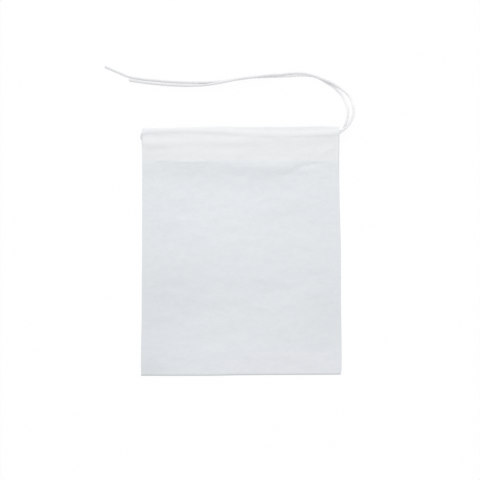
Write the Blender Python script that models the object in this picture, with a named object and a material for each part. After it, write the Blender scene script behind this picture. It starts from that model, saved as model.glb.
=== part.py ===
# Drawstring filter bag, empty and lying flat on its back.
#
# One sheet of heat-sealing filter paper is folded across the bottom. Both of its ends are turned
# in at the mouth as hems, each fixed by a thin line of heat. The two sides are sealed from the
# bottom fold up to that line, so each hem stays an open channel. One cotton string goes in at the
# right, through the front hem, round the left side, back through the rear hem and out again, and
# its two bare ends lie loose beyond the mouth.
#
# X runs across the bag, Y from the bottom fold to the mouth and Z up. The origin is under the
# middle of the bag. Lengths are in metres.

import math

import bmesh
import bpy
from mathutils import Vector

MM = 0.001

# Driving sizes of the bag. The fold is wider than the mouth, which the string draws in a little
BAG_HEIGHT = 100 * MM
MOUTH_WIDTH = 79.5 * MM
FOLD_EXTRA_WIDTH = 1.5 * MM
PAPER = 0.15 * MM
HEM_DEPTH = 13.8 * MM
HEM_SEAL = 1.0 * MM
HEM_LIP = 0.6 * MM
SIDE_SEAL = 2.5 * MM
HEM_AIR = 0.1 * MM
HEM_LOFT = 0.18 * MM
MOUTH_AIR = 0.2 * MM
PANEL_AIR = 0.45 * MM
FOLD_AIR = 0.2 * MM
SEALED_AIR = 0.04 * MM
SIDE_EASE = 10 * MM
FOLD_EASE = 10 * MM
HEM_EASE = 7 * MM

# Driving sizes of the string and of the room it has in the hems
STRING_DIAMETER = 1.0 * MM
STRING_CLEARANCE = 0.25 * MM
RIDGE_SPREAD = 1.4 * MM
TURN_RADIUS = 2.0 * MM
TURN_STANDOFF = 0.65 * MM
TURN_NOTCH = 0.35 * MM
NOTCH_REACH = 2.6 * MM

# Depth of the string below the mouth's edge, at shares of the half width from left to right
FRONT_DEPTHS = ((-1.0, 1.6), (-0.42, 2.15), (-0.05, 2.9), (0.2, 3.2), (0.5, 3.0), (1.0, 2.5))
REAR_DEPTHS = ((-1.0, 5.6), (-0.5, 4.8), (0.0, 3.4), (0.5, 2.0), (1.0, 1.0))

# Soft swells of the front, in millimetres: middle in X and in Y from the hem's end, reach in X and
# Y, height
SWELLS = ((16.6, 0.8, 11.0, 3.4, 0.45), (-22.0, 0.8, 13.0, 3.0, 0.2), (4.0, -40.2, 24.0, 20.0, 0.2))

# Free ends of the string from the hem outwards, in millimetres: X and Y from the mouth's right
# corner, and the height of the string's middle
FRONT_TAIL = (
    (1.85, -1.95, 1.9), (3.15, -1.05, 1.3), (4.55, 0.60, 0.75), (5.65, 2.80, 0.5),
    (6.20, 5.10, 0.5), (6.10, 7.40, 0.5), (5.65, 9.60, 0.5), (4.65, 11.70, 0.5), (3.15, 13.55, 0.5),
    (1.25, 15.20, 0.5), (-1.05, 16.75, 0.5), (-3.65, 18.10, 0.5), (-6.45, 19.40, 0.5),
    (-9.75, 20.65, 0.5), (-13.55, 21.35, 0.5), (-17.95, 21.55, 0.5), (-23.15, 21.20, 1.2),
    (-28.25, 20.65, 1.62), (-34.25, 19.95, 1.65), (-39.75, 19.25, 1.65), (-45.25, 18.20, 1.62),
    (-50.25, 17.30, 1.32), (-54.75, 16.83, 0.8), (-59.75, 16.70, 0.5), (-65.25, 16.85, 0.5),
    (-70.75, 17.20, 0.5), (-77.25, 17.90, 0.5), (-83.75, 18.85, 0.5),
)
REAR_TAIL = (
    (1.45, -0.55, 1.0), (2.65, 0.30, 0.7), (3.45, 1.90, 0.5), (3.90, 3.90, 0.5), (3.95, 6.00, 0.5),
    (3.65, 8.00, 0.5), (2.85, 10.00, 0.5), (1.45, 12.00, 0.5), (-0.45, 14.00, 0.5),
    (-2.75, 15.80, 0.5), (-5.45, 17.45, 0.5), (-8.55, 19.00, 0.5), (-12.05, 20.00, 0.5),
    (-16.05, 20.38, 0.5), (-20.25, 20.40, 0.5), (-25.25, 20.35, 0.5), (-30.25, 20.20, 0.5),
    (-35.25, 19.85, 0.5), (-39.75, 19.30, 0.5), (-44.25, 18.70, 0.5), (-48.75, 18.20, 0.5),
    (-53.75, 17.95, 0.5), (-58.75, 17.95, 0.5), (-63.75, 18.10, 0.5), (-68.75, 18.40, 0.5),
    (-73.75, 18.85, 0.5), (-78.75, 19.40, 0.5), (-83.25, 20.20, 0.5), (-87.25, 21.40, 0.5),
    (-90.35, 22.80, 0.5), (-93.25, 24.30, 0.5),
)
HEM_STEPS = 14
TURN_STEPS = 6
STRING_POINTS = 80
BEND_WEIGHT = 12 * MM

# Sizes that follow
BASE_WIDTH = MOUTH_WIDTH + FOLD_EXTRA_WIDTH
TOP = BAG_HEIGHT / 2
BOTTOM = -BAG_HEIGHT / 2
HEM_END = TOP - HEM_DEPTH
SEAL_START = HEM_END + HEM_LIP
SEAL_END = SEAL_START + HEM_SEAL
CHANNEL_TOP = TOP - PAPER
BORE = STRING_DIAMETER + 2 * STRING_CLEARANCE
RIDGE_REACH = BORE / 2 + RIDGE_SPREAD
TURN_X = -(MOUTH_WIDTH / 2 + TURN_STANDOFF - TURN_RADIUS)

# Layers of the pressed bag, from the rear panel up
REAR_PANEL, REAR_CHANNEL, REAR_HEM, MOUTH, FRONT_HEM, FRONT_CHANNEL, FRONT_PANEL = range(7)


def clear_scene():
    """Removes what the startup file holds."""
    for obj in list(bpy.data.objects):
        bpy.data.objects.remove(obj, do_unlink=True)


def smooth(share):
    """A soft step from 0 to 1."""
    share = min(max(share, 0.0), 1.0)
    return share * share * (3 - 2 * share)


def through(points, x):
    """A smooth line through (x, value) points."""
    last = len(points) - 2
    here = max(n for n in range(last + 1) if n == 0 or points[n][0] <= x)
    (x1, y1), (x2, y2) = points[here], points[here + 1]
    x0, y0 = points[max(here - 1, 0)]
    x3, y3 = points[min(here + 2, last + 1)]
    share = min(max((x - x1) / (x2 - x1), 0.0), 1.0)
    slope1 = (y2 - y0) / (x2 - x0) * (x2 - x1)
    slope2 = (y3 - y1) / (x3 - x1) * (x2 - x1)
    cube, square = share**3, share**2
    return (
        (2 * cube - 3 * square + 1) * y1
        + (cube - 2 * square + share) * slope1
        + (3 * square - 2 * cube) * y2
        + (cube - square) * slope2
    )


def half_width(y):
    """Half of the bag's width, which is even along the hem and grows down to the fold."""
    share = (HEM_END - y) / (HEM_END - BOTTOM)
    return (MOUTH_WIDTH + (BASE_WIDTH - MOUTH_WIDTH) * min(max(share, 0.0), 1.0)) / 2


def turn_middle():
    """Y of the middle of the string's turn at the left side."""
    return TOP - FRONT_DEPTHS[0][1] * MM - TURN_RADIUS


def string_line(depths, side, x):
    """Y of the string in a hem. side is 1 in the front hem and -1 in the rear one."""
    if x < TURN_X:
        across = min(TURN_X - x, TURN_RADIUS)
        return turn_middle() + side * math.sqrt(TURN_RADIUS**2 - across**2)
    start = turn_middle() + side * TURN_RADIUS
    share = (x - TURN_X) / (MOUTH_WIDTH / 2 - TURN_X) * 2 - 1
    return start + (depths[0][1] - through(depths, share)) * MM


def front_line(x):
    return string_line(FRONT_DEPTHS, 1, x)


def rear_line(x):
    return string_line(REAR_DEPTHS, -1, x)


def ridge(distance, base, crown):
    """A soft ridge over the string's line, from a base height up to a crown."""
    share = min(abs(distance) / RIDGE_REACH, 1.0)
    return base + (crown - base) * (1 + math.cos(math.pi * share)) / 2


def swell(x, y):
    """Height of the soft swells of the front."""
    total = 0.0
    for middle_x, middle_y, reach_x, reach_y, height in SWELLS:
        across, along = (x / MM - middle_x) / reach_x, ((y - HEM_END) / MM - middle_y) / reach_y
        total += height * MM * math.exp(-(across**2) - along**2)
    return total


def panel_air(x, y):
    """Height of the air between the two panels below the hems."""
    inside = half_width(y) - SIDE_SEAL - abs(x)
    open_across = smooth(inside / SIDE_EASE)
    open_along = smooth((y - BOTTOM) / FOLD_EASE)
    loft = FOLD_AIR + (PANEL_AIR - FOLD_AIR) * open_along + swell(x, y)
    at_hem = 2 * HEM_AIR + 2 * PAPER + MOUTH_AIR + swell(x, y)
    below_hem = SEALED_AIR + (loft - SEALED_AIR) * open_across
    near_hem = smooth((y - HEM_END) / HEM_EASE + 1)
    return below_hem + (at_hem - below_hem) * near_hem


def hem_air(y, line):
    """Height of the air in a hem away from the string: pressed at the seal, lofted above it."""
    if SEAL_START <= y <= SEAL_END:
        return SEALED_AIR
    share = min(max((y - SEAL_END) / (line - SEAL_END), 0.0), 1.0)
    return HEM_AIR + HEM_LOFT * math.sin(math.pi * share)


def rear_height():
    """Height of the string's middle in the rear hem, which lies flat on the rear panel."""
    return PAPER + BORE / 2


def front_floor(x, y):
    """Height of the upper side of the front hem, which drapes over the string in the rear hem."""
    line = rear_line(x)
    draped = ridge(max(abs(y - line) - STRING_DIAMETER / 2, 0.0), hem_air(y, line), BORE)
    return 3 * PAPER + draped + MOUTH_AIR + swell(x, y)


def front_height(x):
    """Height of the string's middle in the front hem, where it clears the hem's slope below it."""
    line = front_line(x)
    across = [BORE / 2 * share for share in (-0.9, -0.6, -0.3, 0.0, 0.3, 0.6, 0.9)]
    return max(front_floor(x, line + step) + math.sqrt((BORE / 2) ** 2 - step**2) for step in across)


def heights(x, y):
    """The eight heights that bound the seven layers."""
    if y < HEM_END:
        under_front = PAPER + panel_air(x, y)
        return [0.0, PAPER, PAPER, PAPER, under_front, under_front, under_front, under_front + PAPER]
    line = rear_line(x)
    rear = PAPER + ridge(y - line, hem_air(y, line), BORE)
    line = front_line(x)
    floor = front_floor(x, y)
    front = ridge(y - line, floor + hem_air(y, line), front_height(x) + BORE / 2)
    return [0.0, PAPER, rear, rear + PAPER, floor - PAPER, floor, front, front + PAPER]


def drawn_in(z, low, high, share):
    """Pulls two heights towards each other, for the round of a fold."""
    reach = (z[high] - z[low]) * share
    z[low] += reach
    z[high] -= reach


# Rows run from the bottom fold to the mouth. A fold's edge is round over two rows
FOLD_ROUND = ((0.0, 0.34), (0.35, 0.12), (1.0, 0.0))
BODY_SHARES = (0.01, 0.035, 0.1, 0.18, 0.26, 0.34, 0.42, 0.5, 0.58, 0.66, 0.74, 0.82, 0.88, 0.93, 0.97, 1.0)
CHANNEL_SHARES = (0.25, 0.5, 0.75, 1.0)
FOLD_ROWS = len(FOLD_ROUND) - 1
HEM_ROW = FOLD_ROWS + len(BODY_SHARES)
SEAL_ROW = HEM_ROW + 1
CHANNEL_ROW = SEAL_ROW + 1


def rows_at(line):
    """Y of each row, where the rows in the channel follow the string's line."""
    rows = [BOTTOM + PAPER * depth for depth, _ in FOLD_ROUND]
    body = HEM_END - rows[-1]
    rows += [rows[-1] + body * share for share in BODY_SHARES]
    rows += [SEAL_START, SEAL_END]
    foot = line - RIDGE_REACH
    rows += [SEAL_END + (foot - SEAL_END) * share for share in CHANNEL_SHARES]
    shoulder, flank = BORE / 3, BORE * 2 / 3
    rows += [line - flank, line - shoulder, line]
    above = CHANNEL_TOP - line
    rows += [line + min(shoulder, above * 0.4), line + min(flank, above * 0.7)]
    rows += [line + min(RIDGE_REACH, above * 0.88)]
    rows += [TOP - PAPER * depth for depth, _ in reversed(FOLD_ROUND)]
    return rows


# Columns run from left to right: a few across each side seal, and even ones between the seals
SEAL_COLUMNS = (0.0, 0.2, 0.55, 1.0)
MIDDLE_COLUMNS = 14


def columns_at(y):
    """X of each column. The left edge is drawn in a little where the string turns round it."""
    half = half_width(y)
    near_turn = math.exp(-(((y - turn_middle()) / NOTCH_REACH) ** 4))
    left = [-half + SIDE_SEAL * share + TURN_NOTCH * near_turn * (1 - share) for share in SEAL_COLUMNS]
    right = [half - SIDE_SEAL * share for share in reversed(SEAL_COLUMNS)]
    span = right[0] - left[-1]
    middle = [left[-1] + span * n / MIDDLE_COLUMNS for n in range(1, MIDDLE_COLUMNS)]
    return left + middle + right


COLUMNS = 2 * len(SEAL_COLUMNS) + MIDDLE_COLUMNS - 1
ROWS = len(rows_at(TOP / 2))


def is_paper(column, row, layer):
    """Whether a cell between two columns, two rows and two heights is paper."""
    if not (0 <= column < COLUMNS - 1 and 0 <= row < ROWS - 1 and 0 <= layer <= FRONT_PANEL):
        return False
    at_side = column < len(SEAL_COLUMNS) - 1 or column >= COLUMNS - len(SEAL_COLUMNS)
    if layer in (REAR_PANEL, FRONT_PANEL) or row < FOLD_ROWS:
        return True
    if at_side and row < CHANNEL_ROW:
        return True
    if layer in (REAR_HEM, FRONT_HEM):
        return row >= HEM_ROW
    if layer in (REAR_CHANNEL, FRONT_CHANNEL):
        return row == SEAL_ROW or row >= ROWS - 1 - FOLD_ROWS
    return False


def corner_point(column, row, level):
    """Where a corner of the cells lies. Each half of the bag follows its own string line."""
    line = rear_line if level <= MOUTH else front_line
    x = columns_at(TOP)[column]
    y = rows_at(line(x))[row]
    x = columns_at(y)[column]
    z = heights(x, y)
    if row == HEM_ROW:
        z = heights(x, HEM_END)
    if row < FOLD_ROWS:
        drawn_in(z, 0, 7, FOLD_ROUND[row][1])
    if row >= ROWS - FOLD_ROWS:
        share = FOLD_ROUND[ROWS - 1 - row][1]
        drawn_in(z, 0, 3, share)
        drawn_in(z, 4, 7, share)
    return Vector((x, y, z[level]))


# Each side of a cell: the step to its neighbour and its four corners, seen from outside
CELL_SIDES = (
    ((0, 0, -1), ((0, 0, 0), (0, 1, 0), (1, 1, 0), (1, 0, 0))),
    ((0, 0, 1), ((0, 0, 1), (1, 0, 1), (1, 1, 1), (0, 1, 1))),
    ((-1, 0, 0), ((0, 0, 0), (0, 0, 1), (0, 1, 1), (0, 1, 0))),
    ((1, 0, 0), ((1, 0, 0), (1, 1, 0), (1, 1, 1), (1, 0, 1))),
    ((0, -1, 0), ((0, 0, 0), (1, 0, 0), (1, 0, 1), (0, 0, 1))),
    ((0, 1, 0), ((0, 1, 0), (0, 1, 1), (1, 1, 1), (1, 1, 0))),
)


def bag_mesh():
    """Skins every paper cell wherever the next cell is air."""
    bm = bmesh.new()
    corners = {}

    def corner(key):
        if key not in corners:
            corners[key] = bm.verts.new(corner_point(*key))
        return corners[key]

    for column in range(COLUMNS - 1):
        for row in range(ROWS - 1):
            for layer in range(FRONT_PANEL + 1):
                if not is_paper(column, row, layer):
                    continue
                for step, side in CELL_SIDES:
                    if is_paper(column + step[0], row + step[1], layer + step[2]):
                        continue
                    bm.faces.new([corner((column + a, row + b, layer + c)) for a, b, c in side])
    bmesh.ops.triangulate(bm, faces=bm.faces[:], quad_method="FIXED")
    mesh = bpy.data.meshes.new("filter_bag")
    bm.to_mesh(mesh)
    bm.free()
    return mesh


def filter_bag(material):
    """The folded and sealed paper bag, one closed solid with an open mouth and open hems."""
    mesh = bag_mesh()
    mesh.shade_smooth()
    mesh.set_sharp_from_angle(angle=math.radians(35))
    mesh.materials.append(material)
    bag = bpy.data.objects.new("filter_bag", mesh)
    bpy.context.scene.collection.objects.link(bag)
    return bag


def in_front_hem(x):
    """Middle of the string in the front hem."""
    return Vector((x, front_line(x), front_height(x)))


def in_rear_hem(x):
    """Middle of the string in the rear hem."""
    return Vector((x, rear_line(x), rear_height()))


def turn_points():
    """The string's half turn round the left side. It comes down only outside the paper's edge."""
    high, low = in_front_hem(TURN_X).z, in_rear_hem(TURN_X).z
    points = []
    for step in range(TURN_STEPS + 1):
        share = step / TURN_STEPS
        x = TURN_X - TURN_RADIUS * math.sin(math.pi * share)
        y = turn_middle() + TURN_RADIUS * math.cos(math.pi * share)
        points.append(Vector((x, y, high + (low - high) * smooth(2 * share - 0.5))))
    return points


def string_route():
    """The string's route from the front tail's end to the rear tail's end."""
    half = MOUTH_WIDTH / 2
    across = [half + (TURN_X - half) * n / HEM_STEPS for n in range(HEM_STEPS)]
    corner = Vector((half, TOP, 0.0))
    route = [corner + Vector(point) * MM for point in reversed(FRONT_TAIL)]
    route += [in_front_hem(x) for x in across]
    route += turn_points()
    route += [in_rear_hem(x) for x in reversed(across)]
    route += [corner + Vector(point) * MM for point in REAR_TAIL]
    return route


def smooth_curve(route, steps=12):
    """Points along a smooth curve through the route's own points."""
    ends = [2 * route[0] - route[1], *route, 2 * route[-1] - route[-2]]
    points = []
    for a, b, c, d in zip(ends, ends[1:], ends[2:], ends[3:]):
        for step in range(steps):
            t = step / steps
            bend = (2 * a - 5 * b + 4 * c - d) * t**2 + (3 * b - a - 3 * c + d) * t**3
            points.append(b + ((c - a) * t + bend) / 2)
    points.append(route[-1].copy())
    for point in points:
        point.z = max(point.z, STRING_DIAMETER / 2)
    return points


def spaced(points, count):
    """Picks points along a curve, closer together where it bends."""
    weights = [0.0]
    for n in range(1, len(points)):
        step = points[n] - points[n - 1]
        ahead = points[min(n + 1, len(points) - 1)] - points[n]
        bend = step.angle(ahead, 0.0) if ahead.length > 0 else 0.0
        weights.append(weights[-1] + step.length + BEND_WEIGHT * bend)
    chosen, n = [], 0
    for share in range(count):
        wanted = weights[-1] * share / (count - 1)
        while n < len(points) - 2 and weights[n + 1] < wanted:
            n += 1
        part = (wanted - weights[n]) / (weights[n + 1] - weights[n])
        chosen.append(points[n].lerp(points[n + 1], min(max(part, 0.0), 1.0)))
    return chosen


def drawstring(material):
    """The cotton string in one length, with both of its cut ends."""
    curve = bpy.data.curves.new("drawstring", "CURVE")
    curve.dimensions = "3D"
    curve.bevel_depth = STRING_DIAMETER / 2
    curve.bevel_resolution = 2
    curve.use_fill_caps = True
    points = spaced(smooth_curve(string_route()), STRING_POINTS)
    spline = curve.splines.new("POLY")
    spline.points.add(len(points) - 1)
    for place, point in zip(spline.points, points):
        place.co = (*point, 1.0)
    spline.use_smooth = True
    curve.materials.append(material)
    string = bpy.data.objects.new("drawstring", curve)
    bpy.context.scene.collection.objects.link(string)
    return string


def plain_material(name, color, roughness):
    material = bpy.data.materials.new(name)
    material.use_nodes = True
    shader = material.node_tree.nodes["Principled BSDF"]
    shader.inputs["Base Color"].default_value = (*color, 1.0)
    shader.inputs["Roughness"].default_value = roughness
    shader.inputs["Metallic"].default_value = 0.0
    return material


def filter_paper():
    """Unprinted white filter paper, slightly cool and quite dull."""
    return plain_material("filter_paper", (0.76, 0.79, 0.815), 0.9)


def cotton_string():
    """Bleached cotton, twisted and undyed."""
    return plain_material("cotton_string", (0.8, 0.8, 0.79), 0.85)


def main():
    clear_scene()
    filter_bag(filter_paper())
    drawstring(cotton_string())


main()
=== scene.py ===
# %% [markdown]
# # A drawstring filter bag
#
# This lesson dresses a small paper bag that lies flat and empty, seen from straight above. The real
# thing is one sheet of heat-sealing filter paper and one cotton string. Its solids are already made
# to size. What is left for Blender is all that the eye notices: the twist of the string, the ridge
# that it pushes up in the paper, the sealed lines, the crinkles and the fibres.
#
# The first step loads those solids. They are the fixed frame that each piece has to fit.

import math

import bpy
import numpy as np
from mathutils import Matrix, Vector, noise


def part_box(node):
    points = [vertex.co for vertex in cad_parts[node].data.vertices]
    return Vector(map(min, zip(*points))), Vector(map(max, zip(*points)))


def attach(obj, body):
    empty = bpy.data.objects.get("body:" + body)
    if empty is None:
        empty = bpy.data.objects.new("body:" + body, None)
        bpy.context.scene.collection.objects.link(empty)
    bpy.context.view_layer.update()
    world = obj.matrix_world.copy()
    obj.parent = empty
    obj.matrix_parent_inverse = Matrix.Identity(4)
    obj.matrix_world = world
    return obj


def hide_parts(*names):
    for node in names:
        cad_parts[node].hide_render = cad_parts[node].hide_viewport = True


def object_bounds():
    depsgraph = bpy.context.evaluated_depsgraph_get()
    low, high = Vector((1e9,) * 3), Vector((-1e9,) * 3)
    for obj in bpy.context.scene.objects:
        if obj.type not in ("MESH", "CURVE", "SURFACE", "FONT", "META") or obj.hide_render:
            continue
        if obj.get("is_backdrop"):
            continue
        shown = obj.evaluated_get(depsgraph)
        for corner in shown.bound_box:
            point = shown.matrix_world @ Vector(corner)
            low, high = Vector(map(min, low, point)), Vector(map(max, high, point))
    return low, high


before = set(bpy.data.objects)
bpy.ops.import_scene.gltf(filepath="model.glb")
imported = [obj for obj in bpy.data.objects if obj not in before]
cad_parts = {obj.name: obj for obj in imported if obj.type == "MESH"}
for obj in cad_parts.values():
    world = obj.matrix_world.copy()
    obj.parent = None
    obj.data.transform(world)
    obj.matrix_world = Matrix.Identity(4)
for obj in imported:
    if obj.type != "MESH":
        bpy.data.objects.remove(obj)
cad_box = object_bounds()
bag_low, bag_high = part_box("filter_bag")
MM = 0.001
bag_size = [round(v / MM, 2) for v in bag_high - bag_low]
print("solids:", sorted(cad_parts), "- the bag measures", bag_size, "mm")

# %% [markdown]
# ## The camera
#
# A catalogue photo of something flat is taken from straight above with a long lens, so that the
# edges stay parallel. Here 2.483 pixels are a millimetre, which gives the height of the camera over
# the bag. The bag lies a third of a degree askew. The camera turns instead, so that the bag keeps
# its straight axes.

# %% Camera
PICTURE = 480
PIXELS_PER_MM = 2.483
ASKEW = math.radians(0.30)
LENS, SENSOR = 85.0, 36.0
AIM_X, AIM_Y, AIM_HEIGHT = -0.28 * MM, 4.39 * MM, 0.8 * MM


def placed(name, data):
    """A new object in the scene."""
    made = bpy.data.objects.new(name, data)
    bpy.context.scene.collection.objects.link(made)
    return made


camera_data = bpy.data.cameras.new("camera")
camera_data.lens, camera_data.sensor_width = LENS, SENSOR
camera = placed("camera", camera_data)
height = LENS / SENSOR * PICTURE / PIXELS_PER_MM * MM
camera.location = (AIM_X, AIM_Y, height + AIM_HEIGHT)
camera.rotation_euler = (0.0, 0.0, -ASKEW)
bpy.context.scene.camera = camera
print("camera", round(height / MM, 1), "mm above the bag")

# %% [markdown]
# ## Node trees from Python
#
# Materials and Geometry Nodes are both graphs. A small class wraps a socket and lets Python's own
# operators add the Math nodes. Every other node comes from one method, which sets the node's
# settings first and then the values or links of its sockets.


# %% A wrapper for sockets
def math_node(operation, swapped=False):
    """A method that adds a Math node to a wire."""

    def method(wire, value=0.0):
        inputs = {0: value, 1: wire} if swapped else {0: wire, 1: value}
        return wire.graph.node("ShaderNodeMath", {"operation": operation}, inputs)

    return method


class Wire:
    """A node's output that works in Python expressions."""

    def __init__(self, graph, socket):
        self.graph = graph
        self.socket = socket

    def other(self, name):
        """Another output of the same node."""
        return Wire(self.graph, self.socket.node.outputs[name])

    __add__ = __radd__ = math_node("ADD")
    __sub__, __rsub__ = math_node("SUBTRACT"), math_node("SUBTRACT", True)
    __mul__ = __rmul__ = math_node("MULTIPLY")
    __truediv__ = math_node("DIVIDE")
    sine, cosine, absolute = math_node("SINE"), math_node("COSINE"), math_node("ABSOLUTE")
    least, most = math_node("MINIMUM"), math_node("MAXIMUM")

    def clipped(self):
        """The value, kept between 0 and 1."""
        return self.most(0.0).least(1.0)


class Graph:
    """A node tree that grows by one node for each call."""

    def __init__(self, tree):
        self.tree = tree

    def feed(self, socket, value):
        if isinstance(value, Wire):
            self.tree.links.new(value.socket, socket)
        elif socket.type == "RGBA":
            socket.default_value = (*value[:3], 1.0)
        else:
            socket.default_value = value

    def node(self, kind, settings=None, inputs=None, output=0):
        made = self.tree.nodes.new(kind)
        for name, value in (settings or {}).items():
            setattr(made, name, value)
        for name, value in (inputs or {}).items():
            self.feed(made.inputs[name], value)
        return Wire(self, made.outputs[output]) if made.outputs else made

    def vector(self, operation, first, second=(0.0, 0.0, 0.0)):
        return self.node("ShaderNodeVectorMath", {"operation": operation}, {0: first, 1: second})

    def scaled(self, vector, factor):
        inputs = {0: vector, "Scale": factor}
        return self.node("ShaderNodeVectorMath", {"operation": "SCALE"}, inputs)

    def stretched(self, vector, size):
        """A vector divided by a size in millimetres, so that a pattern on it gets that size."""
        return self.vector("DIVIDE", vector, [part * MM for part in size])

    def join(self, *parts):
        """Several geometries as one."""
        made = self.tree.nodes.new("GeometryNodeJoinGeometry")
        for part in reversed(parts):
            self.tree.links.new(part.socket, made.inputs[0])
        return Wire(self, made.outputs[0])

    def mix(self, factor, first, second):
        """A colour between two colours."""
        settings = {"data_type": "RGBA", "clamp_factor": True}
        return self.node("ShaderNodeMix", settings, {0: factor, 6: first, 7: second}, 2)

    def clouds(self, vector, detail=2.0, roughness=0.5):
        """Noise from 0 to 1, with spots about as large as one unit of the vector."""
        inputs = {"Vector": vector, "Scale": 1.0, "Detail": detail, "Roughness": roughness}
        return self.node("ShaderNodeTexNoise", {}, inputs)


print("wrapper ready")

# %% [markdown]
# ## The string's route
#
# A limp cord is a fixed length of material, so its route comes first and its looks later. The
# string starts at its bare front end, runs round a wide bend into the front hem at the right,
# through it, round the left side of the bag, back through the rear hem and out to the second bare
# end. Twice on the way the front end passes over the rear one in a long low hump. The points of
# both tails keep close to the solid string. They are millimetres from the right corner of the
# mouth, and a point without a height lies on the table.

# %% Points of the two tails
FRONT_TAIL = (
    (1.30, -1.90, 1.95), (2.45, -1.00, 1.6), (3.95, 0.60, 0.95), (5.25, 2.80), (6.00, 5.10),
    (5.95, 7.40), (5.50, 9.60), (4.60, 11.70), (3.15, 13.45), (1.25, 14.95), (-1.05, 16.42, 0.75),
    (-3.65, 17.78, 1.25), (-6.45, 18.95, 1.5), (-9.75, 20.32, 1.2), (-13.55, 21.30, 0.85),
    (-17.95, 21.50, 0.65), (-23.15, 21.00, 1.0), (-28.25, 20.65, 1.62), (-34.25, 19.95, 1.65),
    (-39.75, 19.25, 1.65), (-45.25, 18.20, 1.62), (-50.25, 17.30, 1.32), (-54.75, 16.83, 0.8),
    (-59.75, 16.70), (-65.25, 16.85), (-70.75, 17.20), (-77.25, 17.90), (-84.40, 18.95),
)
REAR_TAIL = (
    (1.05, -2.00, 0.62), (1.75, -1.50, 0.55), (2.25, -0.85), (2.45, 0.10), (3.05, 1.70),
    (3.60, 3.70), (3.75, 5.90), (3.45, 8.00), (2.60, 10.00), (1.40, 12.40), (-0.26, 14.20),
    (-1.85, 15.75), (-4.25, 17.25), (-6.65, 18.75), (-9.10, 19.95), (-12.00, 20.55),
    (-16.05, 20.65), (-20.25, 20.42), (-25.25, 20.20), (-30.25, 20.10), (-35.25, 19.85),
    (-39.75, 19.30), (-44.25, 18.70), (-48.75, 18.20), (-53.75, 17.95), (-58.75, 17.95),
    (-63.75, 18.10), (-68.75, 18.40), (-73.75, 18.85), (-78.75, 19.35), (-84.20, 20.32),
    (-87.75, 21.70), (-91.20, 23.20), (-94.00, 24.45),
)
print("points of the tails:", len(FRONT_TAIL), "and", len(REAR_TAIL))

# %% [markdown]
# ## The bag's sizes
#
# The mouth and the fold come from the solid, so the dressed bag can't drift away from it. The paper
# itself is only a tenth of a millimetre thick. The hem is where both ends of the sheet turn in and
# down behind the panels, held by a thin line of heat, and below that line the sides are sealed too.
# The string's depths are pairs: a place from -1 at the left to 1 at the right, and millimetres
# below the mouth.

# %% Sizes of the paper and of the hems
TOP, BOTTOM = bag_high.y, bag_low.y
MOUTH_HALF = 39.75 * MM
PAPER = 0.10 * MM
HEM_END = 35.75 * MM
SEAL_START = 36.05 * MM
SEAL_END = 37.0 * MM
SIDE_SEAL = 2.5 * MM
MOUTH_AIR = 0.05 * MM
MOUTH_LIFT = 0.70 * MM
HEM_AIR = 0.06 * MM
HEM_LOFT = 0.10 * MM
SEALED_AIR = 0.02 * MM

STRING = 1.0 * MM
STRING_ROOM = 0.12 * MM
TURN_RADIUS = 2.3 * MM
TURN_X = -(MOUTH_HALF - TURN_RADIUS)
FRONT_DEPTHS = (
    (-1.0, 1.6), (-0.75, 1.5), (-0.26, 2.2), (0.0, 2.9), (0.28, 3.4), (0.5, 3.55), (0.85, 3.3),
    (1.0, 2.6),
)
REAR_DEPTHS = ((-1.0, 6.2), (-0.5, 6.2), (0.0, 5.8), (0.3, 5.0), (0.65, 3.0), (1.0, 2.2))
TURN_MIDDLE = TOP - FRONT_DEPTHS[0][1] * MM - TURN_RADIUS
print("hem", round((TOP - HEM_END) / MM, 2), "mm deep, string turns at x", round(TURN_X / MM, 2))

# %% [markdown]
# ## Where the string lies in the hems
#
# Each hem has its own line for the string, a smooth curve through a few depths below the mouth. A
# cubic curve with the slope of its neighbours (a Hermite curve) is enough for that. At the left
# both lines end in the half circle of the turn.


# %% Lines of the string
def through(points, x):
    """A smooth line through (x, value) points, at many x at once."""
    at, values = np.array(points).T
    count = np.arange(len(at))
    before, after = np.maximum(count - 1, 0), np.minimum(count + 1, len(at) - 1)
    slopes = (values[after] - values[before]) / (at[after] - at[before])
    here = np.clip(np.searchsorted(at, x, side="right") - 1, 0, len(at) - 2)
    width = at[here + 1] - at[here]
    t = np.clip((x - at[here]) / width, 0.0, 1.0)
    start = (2 * t**3 - 3 * t**2 + 1) * values[here] + (t**3 - 2 * t**2 + t) * slopes[here] * width
    end = (3 * t**2 - 2 * t**3) * values[here + 1] + (t**3 - t**2) * slopes[here + 1] * width
    return start + end


def string_line(depths, side, x):
    """Y of the string in a hem. side is 1 in the front hem and -1 in the rear one."""
    share = (x - TURN_X) / (MOUTH_HALF - TURN_X) * 2 - 1
    inner = TURN_MIDDLE + side * TURN_RADIUS + (depths[0][1] - through(depths, share)) * MM
    across = np.clip(TURN_X - x, 0.0, TURN_RADIUS)
    outer = TURN_MIDDLE + side * np.sqrt(TURN_RADIUS**2 - across**2)
    return np.where(x < TURN_X, outer, inner)


def front_line(x):
    return string_line(FRONT_DEPTHS, 1, x)


def rear_line(x):
    return string_line(REAR_DEPTHS, -1, x)


sample = np.linspace(TURN_X, MOUTH_HALF, 5)
print("front line, mm below the mouth:", np.round((TOP - front_line(sample)) / MM, 2))

# %% [markdown]
# ## How the paper lies
#
# Thin paper over a string makes a low tent, and away from it the layers lie on each other with a
# little air between them. These heights are sums and products of smooth steps, worked out for all
# points at once with NumPy.


# %% Soft shapes
def smooth(share):
    """A soft step from 0 to 1."""
    share = np.clip(share, 0.0, 1.0)
    return share * share * (3 - 2 * share)


def tent(distance, reach_below, reach_above):
    """From 1 on a line to 0 at a reach on each side of it."""
    share = np.where(distance < 0, -distance / reach_below, distance / reach_above)
    return (1 + np.cos(np.pi * np.clip(share, 0.0, 1.0))) / 2


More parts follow.
